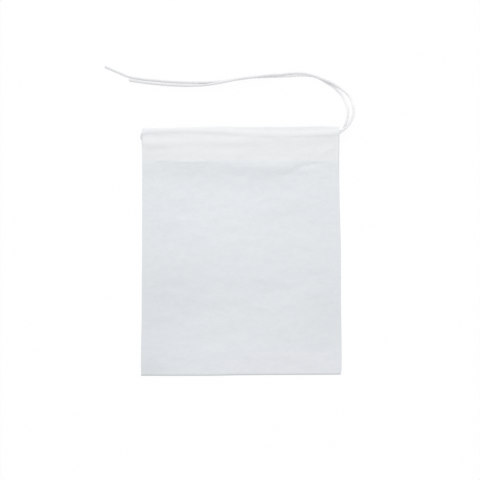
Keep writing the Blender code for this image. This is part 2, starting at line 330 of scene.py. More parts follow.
def bell(distance, reach):
    """From 1 on a line to almost 0 at twice the reach from it."""
    return np.exp(-((distance / reach) ** 2))


def clouds(x, y, size_x, size_y, seed, octaves=1):
    """Soft random heights from about -1 to 1, with spots of the given size."""
    at = zip((x / size_x).ravel(), (y / size_y).ravel())
    values = [noise.fractal(Vector((a, b, seed)), 1.0, 2.0, octaves) for a, b in at]
    return np.array(values).reshape(x.shape) * 1.6


def crease(x, y, points, reach):
    """From 1 on a line of points to 0 away from it. The line fades out at both of its ends."""
    strength = np.zeros_like(x)
    for number, (start, end) in enumerate(zip(points, points[1:])):
        ax, ay, bx, by = (v * MM for v in (*start, *end))
        length = math.hypot(bx - ax, by - ay)
        along = np.clip(((x - ax) * (bx - ax) + (y - ay) * (by - ay)) / length**2, 0.0, 1.0)
        distance = np.hypot(x - ax - along * (bx - ax), y - ay - along * (by - ay))
        place = (number + along) / (len(points) - 1)
        fade = np.sin(np.pi * np.clip(place, 0.02, 0.98)) ** 0.5
        strength = np.maximum(strength, bell(distance, reach) * fade)
    return strength


def soft_max(a, b, blend):
    """The greater of two heights, with a soft passage between them."""
    return (a + b + np.sqrt((a - b) ** 2 + blend**2)) / 2


LEFT_SIDE = (
    (-50, -40.45), (-44, -40.45), (-36, -40.31), (-27, -40.1), (-3, -39.84), (20, -39.61),
    (46, -39.47), (48.4, -39.45), (50, -39.2),
)
RIGHT_SIDE = (
    (-50, 40.0), (-48.4, 40.35), (-44, 40.45), (-36, 40.43), (-20, 40.27), (-12, 40.36), (4, 40.35),
    (12, 40.12), (30, 39.87), (50, 39.85),
)


def left_side(y):
    return through(LEFT_SIDE, y / MM) * MM


def right_side(y):
    return through(RIGHT_SIDE, y / MM) * MM


def from_sides(x, y):
    """Distance to the nearer side of the bag. Neither side is cut quite straight."""
    return np.minimum(x - left_side(y), right_side(y) - x)


print("width at the fold:", np.round((right_side(BOTTOM) - left_side(BOTTOM)) / MM, 2), "mm")

# %% [markdown]
# ## Swells and creases
#
# The front is not even. A pocket of air lifts it below the hem at the right of the middle, and from
# under it a long dent climbs to the right side. A ridge runs up to the right end of the mouth, and
# three short ones lie in the hem at the left. Broad swells are bell curves, creases are lines of
# points, and noise does the rest, stretched sideways because the paper was rolled that way.

# %% Unevenness of the front
SWELLS = (
    (12.0, 33.3, 10.5, 2.7, 0.55),
    (-22.0, 37.0, 13.0, 3.0, 0.12),
    (4.0, -4.0, 24.0, 20.0, 0.15),
)
CREASES = (
    (((16.0, 30.4), (20.0, 31.0), (24.0, 33.4), (28.1, 34.5), (34.0, 35.3)), 1.1, -0.34),
    (((31.5, 37.6), (33.6, 39.6), (35.5, 40.6), (38.0, 41.0)), 1.0, 0.22),
    (((-28.0, 36.0), (-20.0, 35.9), (-12.0, 35.9)), 0.45, 0.2),
    (((-33.8, 36.4), (-32.0, 36.3), (-30.4, 36.7)), 0.5, 0.16),
    (((-33.6, 38.6), (-31.2, 38.7)), 0.45, 0.08),
)
SWELL_EASE = 8 * MM
LONG_WAVE, LONG_HEIGHT = (14 * MM, 7 * MM), 0.16 * MM
SHORT_WAVE, SHORT_HEIGHT = (4.4 * MM, 2.2 * MM), 0.05 * MM
CALM_SIDE, CALM_FOLD, CALM_SHARE = 6 * MM, 5 * MM, 0.25
TABLE_WAVE, TABLE_WAVE_HEIGHT = (34 * MM, 26 * MM), 0.35 * MM


def spots(x, y, places):
    """The sum of soft spots, each given by its middle, its reach and its strength."""
    total = np.zeros_like(x)
    for middle_x, middle_y, reach_x, reach_y, strength in places:
        across, along = (x / MM - middle_x) / reach_x, (y / MM - middle_y) / reach_y
        total += strength * np.exp(-(across**2) - along**2)
    return total


def swell(x, y):
    """Height of the pockets of air, none of them at a sealed side."""
    return spots(x, y, SWELLS) * MM * smooth((from_sides(x, y) - SIDE_SEAL) / SWELL_EASE)


def crinkle(x, y):
    """Height of the front panel's small unevenness, calmer near the seals and the fold."""
    long = clouds(x, y, *LONG_WAVE, 3.1, 2) * LONG_HEIGHT
    short = clouds(x, y, *SHORT_WAVE, 7.7, 2) * SHORT_HEIGHT
    lively = smooth(from_sides(x, y) / CALM_SIDE) * smooth((y - BOTTOM) / CALM_FOLD)
    return (long + short) * (CALM_SHARE + (1 - CALM_SHARE) * lively)


def creases(x, y):
    """Height of the few sharp creases."""
    return sum(crease(x, y, points, reach * MM) * lift * MM for points, reach, lift in CREASES)


def lift_off(x, y):
    """Height of the whole bag over the table: it touches in places and waves a little between."""
    return np.maximum(clouds(x, y, *TABLE_WAVE, 11.3, 1), 0.0) * TABLE_WAVE_HEIGHT


sample_x, sample_y = np.meshgrid(np.linspace(-0.03, 0.03, 20), np.linspace(-0.04, 0.03, 20))
print("front crinkles, mm:", np.round(np.ptp(crinkle(sample_x, sample_y)) / MM, 2))

# %% [markdown]
# ## Eight heights
#
# Pressed flat, the bag has seven layers from the table up: rear panel, channel, rear hem, mouth,
# front hem, channel, front panel. Eight heights bound them. Each is worked out from the one below
# it, so no layer can cut into another whatever the string and the swells do.

# %% Heights of the layers
REAR_REACH = 2.2 * MM
DRAPE_REACH = 3.2 * MM
CREST, CREST_REACH = 0.22 * MM, 1.3 * MM
EDGE_DROP = 0.40 * MM
BORE = STRING + STRING_ROOM
DRAPE_BLEND, LIFT_BLEND, LOFT_BLEND = 0.1 * MM, 0.25 * MM, 0.35 * MM
LIFT_SIDE, LIFT_START, LIFT_REACH = 16 * MM, 1.2 * MM, 5 * MM
LOFT_REACH = 3 * MM
FOLD_AIR, PANEL_AIR, PANEL_EASE = 0.2 * MM, 0.25 * MM, 10 * MM
HEM_EASE, CRINKLE_EASE = 7 * MM, 2.5 * MM


def hem_air(y, line):
    """Air in a hem away from the string: none up to the sealed line, and a little loft above it."""
    share = np.clip((y - SEAL_END) / np.maximum(line - SEAL_END, MM), 0.0, 1.0)
    loft = HEM_AIR + HEM_LOFT * np.sin(np.pi * share)
    return SEALED_AIR + (loft - SEALED_AIR) * smooth((y - SEAL_END) / MM)


def quiet_floor(x, y):
    """Height of the front hem's upper side without swells. It drapes over the string in the rear
    hem, and further down the open mouth lifts it, except near the sealed sides."""
    line = rear_line(x)
    beside = np.maximum(np.abs(y - line) - STRING / 2, 0.0)
    tented = tent(beside, DRAPE_REACH, DRAPE_REACH) * BORE
    draped = soft_max(tented, hem_air(y, line), DRAPE_BLEND)
    opening = smooth((MOUTH_HALF - SIDE_SEAL - np.abs(x)) / LIFT_SIDE)
    lifted = MOUTH_LIFT * opening * smooth((front_line(x) - LIFT_START - y) / LIFT_REACH)
    return 3 * PAPER + MOUTH_AIR + soft_max(draped, lifted + crinkle(x, y), LIFT_BLEND)


def front_floor(x, y):
    return quiet_floor(x, y) + swell(x, y)


def front_height(x):
    """Height of the string's middle in the front hem."""
    line, bore = front_line(x), BORE / 2
    across = [bore * share for share in (-0.9, -0.6, -0.3, 0.0, 0.3, 0.6, 0.9)]
    seats = [front_floor(x, line + step) + math.sqrt(bore**2 - step**2) for step in across]
    return np.max(seats, axis=0)


def hem_heights(x, y):
    """The eight heights from the mouth down to the end of the hem."""
    line = rear_line(x)
    rear_air = np.maximum(tent(y - line, REAR_REACH, REAR_REACH) * BORE, hem_air(y, line))
    line = front_line(x)
    floor = front_floor(x, y)
    crown = front_height(x) + BORE / 2
    at_seal = front_floor(x, np.full_like(y, SEAL_END)) + SEALED_AIR
    share = np.clip((y - SEAL_END) / (line - SEAL_END), 0.0, 1.0)
    above = np.clip((y - line) / (TOP - line), 0.0, 1.0)
    plate = at_seal + (crown - CREST - at_seal) * share - EDGE_DROP * above
    resting = floor + hem_air(y, line)
    free = smooth((y - SEAL_END) / LOFT_REACH)
    lofted = soft_max(resting, plate + crinkle(x, y) * free, LOFT_BLEND * free)
    lowest = np.where(y < SEAL_END, resting, lofted)
    front = lowest + (crown - lowest) * tent(y - line, CREST_REACH, CREST_REACH * 1.5)
    front = np.maximum(front + creases(x, y), floor + SEALED_AIR)
    low = np.zeros_like(x)
    rear = PAPER + rear_air
    return [low, low + PAPER, rear, rear + PAPER, floor - PAPER, floor, front, front + PAPER]


def body_heights(x, y):
    """The eight heights below the hem, where only the two panels are left."""
    inside = from_sides(x, y) - SIDE_SEAL
    loft = FOLD_AIR + PANEL_AIR * smooth((y - BOTTOM) / PANEL_EASE)
    below = SEALED_AIR + (loft - SEALED_AIR) * smooth(inside / PANEL_EASE)
    at_hem = quiet_floor(x, np.full_like(y, HEM_END)) + SEALED_AIR - PAPER
    air = below + (at_hem - below) * smooth((y - HEM_END) / HEM_EASE + 1)
    air += crinkle(x, y) * smooth((HEM_END - y) / CRINKLE_EASE) + creases(x, y) + swell(x, y)
    air = np.maximum(air, SEALED_AIR)
    low = np.zeros_like(x)
    inner = PAPER + air
    return [low, low + PAPER, low + PAPER, low + PAPER, inner, inner, inner, inner + PAPER]


print("string in the front hem, mm up:", np.round(front_height(sample) / MM, 2))

# %% [markdown]
# ## The route in full
#
# With the seats in the hems known, the route is one list of points: a tail, a hem, the turn, a hem
# and a tail. A smooth curve through them (Catmull-Rom) gives points close enough to follow.


# %% Route
HEM_STEPS, TURN_STEPS = 14, 10
DROP_START, DROP_SHARE = 0.38, 0.37
REAR_HEIGHT = PAPER + BORE / 2


def turn_points():
    """The half turn round the left side. The string comes down only outside the paper's edge."""
    high, low = front_height(np.array([TURN_X]))[0], REAR_HEIGHT
    points = []
    for step in range(TURN_STEPS + 1):
        share = step / TURN_STEPS
        x = TURN_X - TURN_RADIUS * math.sin(math.pi * share)
        y = TURN_MIDDLE + TURN_RADIUS * math.cos(math.pi * share)
        dropped = float(smooth((share - DROP_START) / DROP_SHARE))
        points.append(Vector((x, y, high + (low - high) * dropped)))
    return points


def tail_point(point):
    """A point of a tail. Without a height of its own it lies on the table."""
    return corner + Vector((*point, STRING / 2 / MM)[:3]) * MM


def smooth_curve(route, steps=12):
    """Points along a smooth curve through the route's own points, none of them in the table."""
    ends = [2 * route[0] - route[1], *route, 2 * route[-1] - route[-2]]
    points = []
    for a, b, c, d in zip(ends, ends[1:], ends[2:], ends[3:]):
        for step in range(steps):
            t = step / steps
            bend = (2 * a - 5 * b + 4 * c - d) * t**2 + (3 * b - a - 3 * c + d) * t**3
            points.append(b + ((c - a) * t + bend) / 2)
    points.append(route[-1].copy())
    for point in points:
        point.z = max(point.z, STRING / 2)
    return points


def length_of(points):
    return sum((b - a).length for a, b in zip(points, points[1:]))


def cut_at(points, length):
    """The first stretch of a line of points, and what is left, parted at a length."""
    done = 0.0
    for number, (a, b) in enumerate(zip(points, points[1:])):
        step = (b - a).length
        if done + step >= length:
            middle = a.lerp(b, (length - done) / step)
            return points[: number + 1] + [middle], [middle] + points[number + 1 :]
        done += step
    return points, points[-1:]


corner = Vector((MOUTH_HALF, TOP, 0.0))
across = MOUTH_HALF + (TURN_X - MOUTH_HALF) * np.arange(HEM_STEPS) / HEM_STEPS
in_front = [Vector(p) for p in zip(across, front_line(across), front_height(across))]
in_rear = [Vector((*p, REAR_HEIGHT)) for p in zip(across, rear_line(across))]
front_tail = [tail_point(p) for p in reversed(FRONT_TAIL)]
rear_tail = [tail_point(p) for p in REAR_TAIL]
string_path = smooth_curve(front_tail + in_front + turn_points() + in_rear[::-1] + rear_tail)
print("string in all:", round(length_of(string_path) / MM, 1), "mm")

# %% [markdown]
# ## One length, three pieces
#
# In the scene the string is three pieces: the two free tails, which are cords, and the stretch in
# the hems, which is not free. They part inside the hems, a few millimetres from the mouth's right
# end, where the paper hides the joints.

# %% Part the route
INSIDE = 4.0 * MM
OVERLAP = 0.5 * MM
exits = [Vector(in_front[0]), Vector(in_rear[0])]
front_exit, rear_exit = [
    min(range(len(string_path)), key=lambda n: (string_path[n] - p).length) for p in exits
]
free_front = length_of(string_path[: front_exit + 1])
free_rear = length_of(string_path[rear_exit:])
whole = length_of(string_path)
front_path, rest = cut_at(string_path, free_front + INSIDE)
_, rear_path = cut_at(string_path, whole - free_rear - INSIDE)
_, rest = cut_at(string_path, free_front + INSIDE - OVERLAP)
hem_path, _ = cut_at(rest, whole - free_front - free_rear - 2 * INSIDE + 2 * OVERLAP)
front_path.reverse()
print("free ends, mm: front", round(free_front / MM, 1), "and rear", round(free_rear / MM, 1))

# %% [markdown]
# ## A tree that twists a string
#
# Cotton string is a few plies twisted round each other. That is a rule, so Geometry Nodes make it:
# the path is resampled, copied once for each ply, and each copy is pushed aside by a turning offset
# before it gets its round section. Loose fibres are scattered on the plies, which spread at the cut
# end. The tree also stores where a point lies along and around its ply, for the material.


# %% Tree of the twisted string
def add_sockets(tree):
    """Gives a tree its inputs and its one output, and tells the names of the inputs."""
    sockets = [("OUTPUT", "Geometry", "Geometry"), ("INPUT", "Geometry", "Geometry")]
    sockets += [("INPUT", kind, name) for kind, names in STRING_INPUTS for name in names]
    for way, kind, name in sockets:
        tree.interface.new_socket(name=name, in_out=way, socket_type="NodeSocket" + kind)
    return [name for way, _, name in sockets if way == "INPUT"]


STRING_INPUTS = (
    ("Int", ("Plies", "Seed")),
    ("Float", ("Ply Radius", "Lay Radius", "Turn Length", "Step", "Spread Length")),
    ("Float", ("Hidden Length", "Fibre Density", "Fibre Size")),
    ("Material", ("Material",)),
)
PLY_SHIFT = 37.0
UNEVEN_SIZE = (1.3, 1.3, 1.3)
THINNEST, UNEVENNESS = 0.86, 0.28
FIBRE_THICKNESS = 0.016
SHORTEST_FIBRE, LONGEST_FIBRE = 0.4, 1.5


def store(graph, geometry, kind, name, value):
    """Keeps a value on the points under a name."""
    settings = {"data_type": kind, "domain": "POINT"}
    inputs = {"Geometry": geometry, "Name": name, "Value": value}
    return graph.node("GeometryNodeStoreNamedAttribute", settings, inputs)


def plies(graph, given):
    """The path, once for each ply, turned round itself and spread at its cut end."""
    inputs = {"Curve": given["Geometry"], "Length": given["Step"]}
    path = graph.node("GeometryNodeResampleCurve", {"mode": "LENGTH"}, inputs)
    inputs = {"Geometry": path, "Amount": given["Plies"]}
    copies = graph.node("GeometryNodeDuplicateElements", {"domain": "SPLINE"}, inputs)
    ply = copies.other("Duplicate Index")
    at = graph.node("GeometryNodeSplineParameter", {}, {}, "Length")
    turn = (ply / given["Plies"] + at / given["Turn Length"]) * (2 * math.pi)
    normal = graph.node("GeometryNodeInputNormal", {}, {}, "Normal")
    tangent = graph.node("GeometryNodeInputTangent")
    side = graph.vector("CROSS_PRODUCT", tangent, normal)
    total = graph.node("GeometryNodeSplineLength", {}, {}, "Length")
    spread = (1 - (total - at) / given["Spread Length"]).most(0.0)
    away = given["Lay Radius"] * (1 + 0.5 * spread)
    along_normal = graph.scaled(normal, turn.cosine() * away)
    offset = graph.vector("ADD", along_normal, graph.scaled(side, turn.sine() * away))
    twisted = graph.node("GeometryNodeSetPosition", {}, {"Geometry": copies, "Offset": offset})
    open_air = ((at - given["Hidden Length"]) / MM).clipped()
    twisted = store(graph, twisted, "FLOAT", "open_air", open_air)
    return store(graph, twisted, "FLOAT", "along", at / MM + ply * PLY_SHIFT)


def ply_skin(graph, given, lines):
    """The plies as round bundles, a little thicker and thinner along their length. The points of
    the round section know where they are around it."""
    place = graph.node("GeometryNodeInputPosition")
    uneven = graph.clouds(graph.stretched(place, UNEVEN_SIZE))
    radius = given["Ply Radius"] * (THINNEST + UNEVENNESS * uneven)
    circle = graph.node("GeometryNodeCurvePrimitiveCircle", {}, {"Resolution": 8, "Radius": 1.0})
    section = store(graph, circle, "FLOAT_VECTOR", "around", place)
    inputs = {"Curve": lines, "Profile Curve": section, "Scale": radius, "Fill Caps": True}
    return graph.node("GeometryNodeCurveToMesh", {}, inputs)


def one_fibre(graph, given):
    """A hair-thin fibre that rises from the surface and lies down along it."""
    size = given["Fibre Size"]
    points = {"Start": (0, 0, -0.1), "Start Handle": (0.1, 0, 0.35)}
    points.update({"End Handle": (0.6, 0.15, 0.45), "End": (1.0, 0.3, 0.2)})
    inputs = {name: graph.scaled(point, size) for name, point in points.items()}
    inputs["Resolution"] = 5
    line = graph.node("GeometryNodeCurvePrimitiveBezierSegment", {}, inputs)
    section = graph.node("GeometryNodeCurvePrimitiveCircle", {}, {"Resolution": 3, "Radius": 1.0})
    inputs = {"Curve": line, "Profile Curve": section, "Scale": size * FIBRE_THICKNESS}
    return graph.node("GeometryNodeCurveToMesh", {}, inputs)


def loose_fibres(graph, given, skin):
    """Fibres scattered on the plies, but not where the string lies in a hem."""
    number = {"data_type": "FLOAT"}
    open_air = graph.node("GeometryNodeInputNamedAttribute", number, {"Name": "open_air"})
    inputs = {"Mesh": skin, "Density": given["Fibre Density"] * open_air, "Seed": given["Seed"]}
    points = graph.node("GeometryNodeDistributePointsOnFaces", {}, inputs)
    inputs = {"Min": (-0.5, -0.3, 0.0), "Max": (0.5, 0.5, 2 * math.pi), "Seed": given["Seed"]}
    spin = graph.node("FunctionNodeRandomValue", {"data_type": "FLOAT_VECTOR"}, inputs)
    spin = graph.node("FunctionNodeEulerToRotation", {}, {"Euler": spin})
    inputs = {"Rotation": points.other("Rotation"), "Rotate By": spin}
    turned = graph.node("FunctionNodeRotateRotation", {"rotation_space": "LOCAL"}, inputs)
    inputs = {2: SHORTEST_FIBRE, 3: LONGEST_FIBRE, "Seed": given["Seed"] + 1}
    length = graph.node("FunctionNodeRandomValue", number, inputs)
    inputs = {"Points": points, "Instance": one_fibre(graph, given), "Rotation": turned}
    inputs["Scale"] = graph.node("ShaderNodeCombineXYZ", {}, dict.fromkeys("XYZ", length))
    return graph.node("GeometryNodeInstanceOnPoints", {}, inputs)


def twisted_string_tree():
    tree = bpy.data.node_groups.new("twisted_string", "GeometryNodeTree")
    names = add_sockets(tree)
    graph = Graph(tree)
    first = graph.node("NodeGroupInput")
    given = {name: first.other(name) for name in names}
    skin = ply_skin(graph, given, plies(graph, given))
    joined = graph.join(skin, loose_fibres(graph, given, skin))
    real = graph.node("GeometryNodeRealizeInstances", {}, {"Geometry": joined})
    soft = graph.node("GeometryNodeSetShadeSmooth", {}, {"Geometry": real})
    inputs = {"Geometry": soft, "Material": given["Material"]}
    done = graph.node("GeometryNodeSetMaterial", {}, inputs)
    graph.node("NodeGroupOutput", {}, {"Geometry": done})
    return tree


string_tree = twisted_string_tree()
print("twisted string:", len(string_tree.nodes), "nodes")

# %% [markdown]
# ## Cotton
#
# Bleached cotton is a dull white. Its fibres run along the ply at a slant, so the pattern is built
# on the two stored values: noise on a vector that goes round with the ply and is stretched along
# it. The grooves between the fibres get a painted shade, a little darker. In its wide bend at the
# right the string is painted whiter, a painted light: the bend lies along the light, so no side of
# it is in shade there. Towards its loose ends it gets greyer.


# %% Cotton material
def new_material(name, roughness, specular, sheen):
    """A material with one shader, whose constants are set on its own sockets."""
    material = bpy.data.materials.new(name)
    material.use_nodes = True
    shader = material.node_tree.nodes["Principled BSDF"]
    shader.inputs["Roughness"].default_value = roughness
    shader.inputs["Specular IOR Level"].default_value = specular
    shader.inputs["Sheen Weight"].default_value = sheen
    shader.inputs["Sheen Roughness"].default_value = 0.5
    return material, Graph(material.node_tree), shader.inputs


def attribute(graph, name, output="Fac"):
    return graph.node("ShaderNodeAttribute", {"attribute_name": name}, {}, output)


GROOVE_SHADE, THREAD, PATCH = (0.79, 0.795, 0.815), (0.86, 0.865, 0.88), (0.86, 0.855, 0.85)
BEND_PAINTED_LIGHT, GREYEST = (0.97, 0.97, 0.975), (0.69, 0.70, 0.72)
SLANT, ALONG_SCALE, AROUND_SCALE, PATCH_SCALE = 1.6, 0.35, 2.6, 0.25
BEND_X, BEND_EASE, BEND_Y, BEND_REACH = 39 * MM, 3 * MM, 59.5 * MM, 9 * MM
GREYING_X, GREYING_REACH = 6 * MM, 20 * MM


def cotton_material():
    material, graph, shader = new_material("cotton_string", 0.85, 0.25, 0.15)
    along, around = attribute(graph, "along"), attribute(graph, "around", "Vector")
    inputs = {"Vector": around, "Angle": along * SLANT}
    slanted = graph.node("ShaderNodeVectorRotate", {"rotation_type": "Z_AXIS"}, inputs)
    upright = graph.node("ShaderNodeCombineXYZ", {}, {"Z": along * ALONG_SCALE})
    vector = graph.vector("ADD", graph.scaled(slanted, AROUND_SCALE), upright)
    strands = graph.clouds(vector, 3.0, 0.6)
    place = graph.node("ShaderNodeCombineXYZ", {}, {"X": along * PATCH_SCALE})
    patches = graph.clouds(place, 1.0)
    # Painted shade: where the bump is low, in the grooves between the fibres, the colour is darker.
    color = graph.mix((strands - 0.3) * 2.2, GROOVE_SHADE, THREAD)
    color = graph.mix(patches * 0.3, color, PATCH)
    place = graph.node("ShaderNodeTexCoord", {}, {}, "Object")
    x = graph.node("ShaderNodeSeparateXYZ", {}, {0: place}, "X")
    off_bend = (x.other("Y") - BEND_Y).absolute()
    bend = ((x - BEND_X) / BEND_EASE).clipped() * (1 - off_bend / BEND_REACH).most(0.0)
    # Painted light: the wide bend at the right is painted whiter, as no side of it is in shade
    # there.
    color = graph.mix(bend, color, BEND_PAINTED_LIGHT)
    # Greyer towards the loose ends on the left.
    greying = ((GREYING_X - x) / GREYING_REACH).clipped()
    color = graph.mix(greying * 0.38, color, GREYEST)
    graph.feed(shader["Base Color"], color)
    inputs = {"Strength": 0.2, "Distance": 0.02 * MM, "Height": strands}
    graph.feed(shader["Normal"], graph.node("ShaderNodeBump", {}, inputs))
    return material


cotton = cotton_material()
print("cotton:", len(cotton.node_tree.nodes), "nodes")

# %% [markdown]
# ## The three lengths of string
#
# Each length is a curve of straight steps with the tree on it as a modifier. The modifier's inputs
# are set by the identifier of the socket, because that never changes, and before the object is
# evaluated for the first time. The result is then kept as a plain mesh.


# %% String pieces
def poly_curve(name, points):
    curve = bpy.data.curves.new(name, "CURVE")
    curve.dimensions = "3D"
    line = curve.splines.new("POLY")
    line.points.add(len(points) - 1)
    for place, point in zip(line.points, points):
        place.co = (*point, 1.0)
    return placed(name, curve)


def grown(source, tree, values, name):
    """What a tree makes of an object, as a plain mesh object."""
    modifier = source.modifiers.new("tree", "NODES")
    modifier.node_group = tree
    for item in tree.interface.items_tree:
        if item.item_type == "SOCKET" and item.in_out == "INPUT" and item.name in values:
            modifier[item.identifier] = values[item.name]
    source.update_tag()
    depsgraph = bpy.context.evaluated_depsgraph_get()
    mesh = bpy.data.meshes.new_from_object(source.evaluated_get(depsgraph), depsgraph=depsgraph)
    mesh.name = name
    bpy.data.objects.remove(source)
    return placed(name, mesh)


PLY_RADIUS, LAY_RADIUS = 0.43 * MM, 0.105 * MM
IN_HEM_SHARE = 0.95
SPREAD, NO_SPREAD = 1.6 * MM, 0.01 * MM
ALIKE = {"Plies": 3, "Turn Length": 3.4 * MM, "Step": 0.25 * MM, "Material": cotton}
ALIKE.update({"Fibre Density": 2.5e5, "Fibre Size": 0.55 * MM})


def twisted(name, points, seed, spread, hidden, share=1.0):
    values = {"Seed": seed, "Spread Length": spread, "Hidden Length": hidden, **ALIKE}
    values.update({"Ply Radius": PLY_RADIUS * share, "Lay Radius": LAY_RADIUS * share})
    made = grown(poly_curve(name + "_path", points), string_tree, values, name)
    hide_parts("drawstring")
    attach(made, "root")
    print(name, len(made.data.polygons), "faces")
    return made


front_end = twisted("string_front_end", front_path, 11, SPREAD, INSIDE)
rear_end = twisted("string_rear_end", rear_path, 12, SPREAD, INSIDE)
twisted("string_in_hems", hem_path, 13, NO_SPREAD, length_of(hem_path), IN_HEM_SHARE)
for piece, free, path, leaves in (
    (front_end, free_front, front_path, exits[0]),
    (rear_end, free_rear, rear_path, exits[1]),
):
    facts = {"far_end": "bare", "stiffness": "limp", "lay": "loose"}

# %% [markdown]
# ## The skin of the bag
#
# A sheet with hems and seals is hard to fold on screen, but easy to cut from a stack. Columns, rows
# and the eight heights divide space into cells. Where paper meets air there is a face, side seals
# are cells filled right up, channels are cells left empty, and the result is one closed skin. The
# rows follow the string, which pushes the side out a little where it turns at the left.

# %% Columns and rows
SIDE_STEPS = (0.0, 0.12, 0.3, 0.6, 1.0, 1.5, 2.0, 2.5)
MIDDLE_COLUMNS = 96
FOLD_DEPTHS = (0.0, 0.05, 0.12, 0.25, 0.45, 0.7, 1.0, 1.4)
SOLID_ROWS = 2
BODY_ROWS = 104
STEP_ROWS, STEP_REACH = 8, 2.4 * MM
FOOT_ROWS, CREST_ROWS = 10, 6
RIDGE_FOOT = 1.9 * MM
RIDGE_STEPS = (-1.6, -1.3, -1.05, -0.8, -0.55, -0.3, -0.1, 0.1)
MOUTH_SHARE = 0.4
FOLD_REACH = 0.9 * MM
BULGE, BULGE_REACH = 0.2 * MM, 2.4 * MM

edge = np.array(SIDE_STEPS) * MM
column_count = 2 * len(edge) + MIDDLE_COLUMNS - 1


def columns_at(y):
    """X of each column in each row. y is columns by rows."""
    near_turn = np.exp(-(((y[:1] - TURN_MIDDLE) / BULGE_REACH) ** 4))
    left = left_side(y[:1]) + edge[:, None] - BULGE * near_turn * (1 - edge[:, None] / edge[-1])
    right = right_side(y[:1]) - edge[::-1, None]
    share = np.arange(1, MIDDLE_COLUMNS)[:, None] / MIDDLE_COLUMNS
    middle = left[-1:] + (right[:1] - left[-1:]) * share
    return np.concatenate([left, middle, right])


def rows_along(line):
    """Y of each row in each column. Rows in the channel keep their distance from the string."""
    same = np.ones_like(line)
    depths = np.array(FOLD_DEPTHS) * MM
    rows = [(BOTTOM + depth) * same for depth in depths]
    body = np.linspace(BOTTOM + depths[-1], HEM_END - STEP_REACH, BODY_ROWS + 1)[1:]
    body = np.concatenate([body, np.linspace(body[-1], HEM_END, STEP_ROWS + 1)[1:]])
    rows += [y * same for y in body]
    hem_row = len(rows) - 1
    rows += [SEAL_START * same, (SEAL_START + SEAL_END) / 2 * same, SEAL_END * same]
    foot = line - RIDGE_FOOT
    shares = np.arange(1, FOOT_ROWS + 1) / FOOT_ROWS
    rows += [SEAL_END + (foot - SEAL_END) * share for share in shares]
    rows += [line + step * MM for step in RIDGE_STEPS]
    start, stop = rows[-1], TOP - depths[-1] * MOUTH_SHARE
    shares = np.arange(1, CREST_ROWS + 1) / (CREST_ROWS + 1)
    rows += [start + (stop - start) * share for share in shares]
    rows += [(TOP - depth * MOUTH_SHARE) * same for depth in depths[::-1]]
    return np.stack(rows, axis=1), hem_row


x_at_mouth = columns_at(np.full((1, 1), TOP))[:, 0]
rear_rows, HEM_ROW = rows_along(rear_line(x_at_mouth))
front_rows, _ = rows_along(front_line(x_at_mouth))
row_count = rear_rows.shape[1]
CHANNEL_ROW = HEM_ROW + 3
print(column_count, "columns and", row_count, "rows")

# %% [markdown]
# ## From cells to a mesh
#
# All cells are looked at together: the stack of yes and no is shifted by one in each direction, and
# where yes meets no there is a face. Only the corners that some face uses are kept.

# %% Bag mesh
REAR_PANEL, REAR_CHANNEL, REAR_HEM, MOUTH, FRONT_HEM, FRONT_CHANNEL, FRONT_PANEL = range(7)
CELL_SIDES = (
    ((0, 0, -1), ((0, 0, 0), (0, 1, 0), (1, 1, 0), (1, 0, 0))),
    ((0, 0, 1), ((0, 0, 1), (1, 0, 1), (1, 1, 1), (0, 1, 1))),
    ((-1, 0, 0), ((0, 0, 0), (0, 0, 1), (0, 1, 1), (0, 1, 0))),
    ((1, 0, 0), ((1, 0, 0), (1, 1, 0), (1, 1, 1), (1, 0, 1))),
    ((0, -1, 0), ((0, 0, 0), (1, 0, 0), (1, 0, 1), (0, 0, 1))),
    ((0, 1, 0), ((0, 1, 0), (0, 1, 1), (1, 1, 1), (1, 1, 0))),
)


def paper_cells():
    """Which cells are paper, with a border of air on all sides."""
    cells = np.zeros((column_count + 1, row_count + 1, 9), bool)
    column, row = np.arange(column_count - 1)[:, None], np.arange(row_count - 1)[None, :]
    side = (column < len(edge) - 1) | (column >= column_count - len(edge))
    fold, top = row < SOLID_ROWS, row >= row_count - 1 - SOLID_ROWS
    filled = fold | (side & (row < CHANNEL_ROW))
    sealed = (row >= HEM_ROW + 1) & (row < CHANNEL_ROW)
    inner = cells[1:-1, 1:-1, 1:-1]
    for layer in range(7):
        inner[:, :, layer] = filled
    inner[:, :, REAR_PANEL] = inner[:, :, FRONT_PANEL] = True
    for layer in (REAR_HEM, FRONT_HEM):
        inner[:, :, layer] |= (row >= HEM_ROW) & (column >= 0)
    for layer in (REAR_CHANNEL, FRONT_CHANNEL):
        inner[:, :, layer] |= (sealed | top) & (column >= 0)
    return cells


BLUNTNESS = 0.09


def rounded(depth):
    """How far a fold's edge is closed towards its middle: most at the edge, 0 further in."""
    share = np.clip(1 - depth / FOLD_REACH, 0.0, 1.0)
    return 1 - np.sqrt(np.maximum(1 - share**2, BLUNTNESS))


def squeeze(levels, low, high, share):
    """Draws the heights from low to high towards their middle."""
    middle = (levels[low] + levels[high]) / 2
    for number in range(low, high + 1):
        levels[number] = levels[number] + (middle - levels[number]) * share


def corner_heights(x, y):
    """The eight heights at many places, with the edges of the folds rounded."""
    body, hem = body_heights(x, y), hem_heights(x, y)
    levels = [np.where(y < HEM_END, a, b) for a, b in zip(body, hem)]
    squeeze(levels, 0, 7, rounded(y - BOTTOM))
    for low, high in ((0, 3), (4, 7)):
        squeeze(levels, low, high, rounded((TOP - y) * 2.0))
    return levels


MOUTH_EDGE = (
    (-40, -0.36), (-32, -0.36), (-24, -0.12), (-8, 0.1), (0, 0.0), (24, 0.0), (32, 0.15),
    (40, -0.25),
)
FOLD_EDGE = ((-40, -0.15), (-30, -0.2), (-12, -0.28), (0, -0.14), (40, -0.12))
FOLD_EDGE_REACH = 10 * MM


def edge_shift(x, y):
    """How far the mouth and the fold wander from a straight line."""
    near_mouth = smooth((y - HEM_END) / (TOP - HEM_END))
    near_fold = smooth(1 - (y - BOTTOM) / FOLD_EDGE_REACH)
    at = x / MM
    return (through(MOUTH_EDGE, at) * near_mouth + through(FOLD_EDGE, at) * near_fold) * MM


